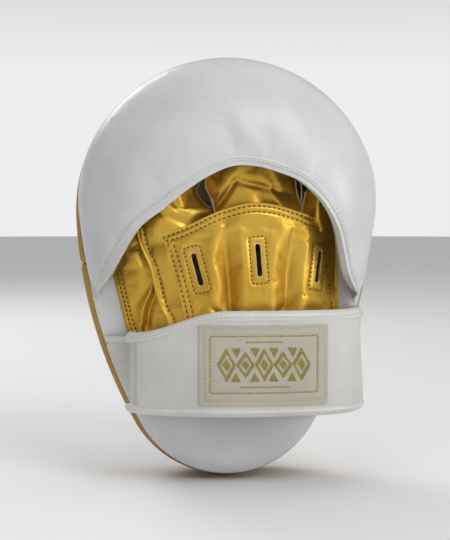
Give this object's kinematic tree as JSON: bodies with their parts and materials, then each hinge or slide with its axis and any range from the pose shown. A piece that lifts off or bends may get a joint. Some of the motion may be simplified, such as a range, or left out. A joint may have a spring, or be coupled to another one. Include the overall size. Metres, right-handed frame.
{
  "type": "focus mitt",
  "caption": "Right-hand boxing focus mitt: egg-shaped layered striking pad, padded finger hood, vented gold glove and padded wrist strap that opens.",
  "frame": {"origin": "the point of the palm lining that the palm rests on, inside the glove", "axes": "+Z towards the fingertips, +Y out of the back of the hand, -Y out of the striking face, +X towards the thumb"},
  "size_m": [0.1898, 0.0968, 0.265],
  "materials": {
    "face_leather": "satin",
    "gusset_leather": "satin",
    "gold_piping": "gloss",
    "gold_leather": "satin",
    "white_leather": "satin",
    "white_binding": "satin",
    "label": "satin",
    "pale_edge": "matte",
    "lining": "matte",
    "foam": "matte",
    "hook_tape": "matte",
    "loop_tape": "matte"
  },
  "bodies": {
    "mitt": {"striking_face": "face_leather", "face_piping": "gold_piping", "gusset_upper": "gusset_leather", "gusset_lower": "gusset_leather", "front_foam": "foam", "middle_foam": "foam", "back_foam": "foam", "back_panel": "white_leather", "hood_cover": "white_leather", "hood_foam": "foam", "hood_lining": "lining", "hood_binding": "white_binding", "heel_cover": "white_leather", "heel_foam": "foam", "hand_back_panel": "gold_leather", "hand_back_lining": "lining", "index_stall": "gold_leather", "middle_ring_stall": "gold_leather", "little_stall": "gold_leather", "stall_gusset_index": "pale_edge", "stall_gusset_little": "pale_edge", "thumb_stall": "gold_leather", "palm_lining": "lining", "grip_ball": "gold_leather", "strap_anchor": "white_leather", "base_tab": "white_leather", "base_loop_tape": "loop_tape"},
    "strap": {"strap_cover": "white_leather", "strap_foam": "foam", "strap_lining": "lining", "strap_top_binding": "white_binding", "strap_bottom_binding": "white_binding", "strap_label": "label", "strap_hook_tape": "hook_tape"}
  },
  "joints": [
    {"name": "strap_hinge", "type": "hinge", "parent": "mitt", "child": "strap", "pos_m": [-0.0795, 0.0235, -0.032], "axis": [0, 0, 1], "range_deg": [0, 120]}
  ]
}
